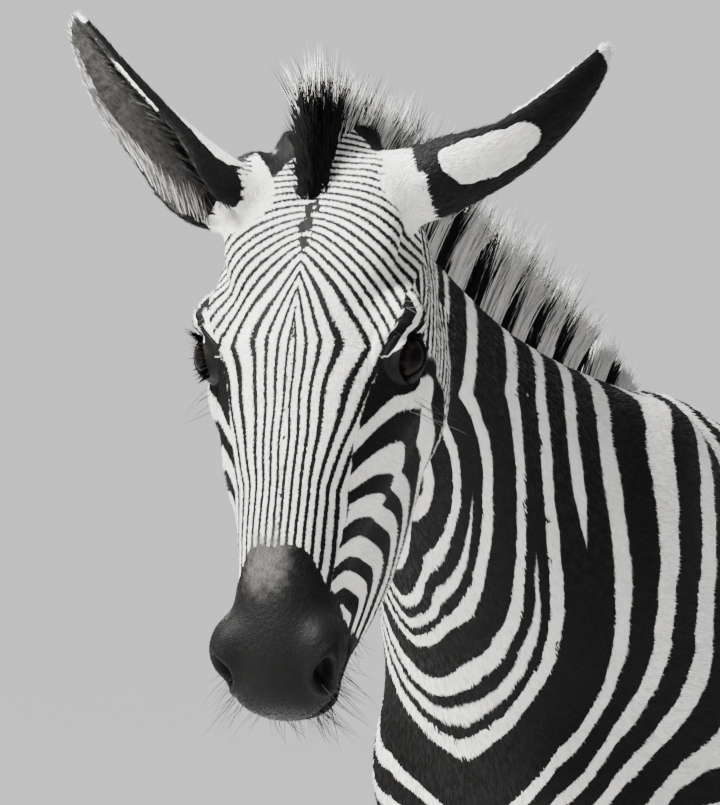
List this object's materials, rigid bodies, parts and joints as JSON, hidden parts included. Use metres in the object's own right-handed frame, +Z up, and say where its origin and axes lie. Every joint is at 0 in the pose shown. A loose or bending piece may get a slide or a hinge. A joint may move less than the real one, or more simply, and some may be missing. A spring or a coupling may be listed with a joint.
{
  "type": "standing zebra model",
  "caption": "Life-size still model of a standing plains zebra, head turned to its left and ears spread; stands freely on its own hooves.",
  "frame": {"origin": "on the floor under the middle of the bounding box", "axes": "-Y the way the body faces, +X the animal's left, +Z up"},
  "size_m": [0.5408, 1.8862, 1.6343],
  "materials": {
    "coat": "short haired hide, striped black on off-white",
    "hair": "stiff upright hair",
    "horn": "dark hoof horn",
    "eye": "wet dark eye"
  },
  "bodies": {
    "root": {"head": "coat", "neck": "coat", "shoulders": "coat", "barrel": "coat", "hindquarters": "coat", "tail": "coat", "tail_tuft": "hair", "mane_front": "hair", "mane_middle": "hair", "mane_rear": "hair", "ear_left": "coat", "ear_right": "coat", "eye_left": "eye", "eye_right": "eye", "leg_fore_left_upper": "coat", "leg_fore_left_lower": "coat", "hoof_fore_left": "horn", "leg_fore_right_upper": "coat", "leg_fore_right_lower": "coat", "hoof_fore_right": "horn", "leg_hind_left_upper": "coat", "leg_hind_left_lower": "coat", "hoof_hind_left": "horn", "leg_hind_right_upper": "coat", "leg_hind_right_lower": "coat", "hoof_hind_right": "horn"}
  },
  "joints": []
}
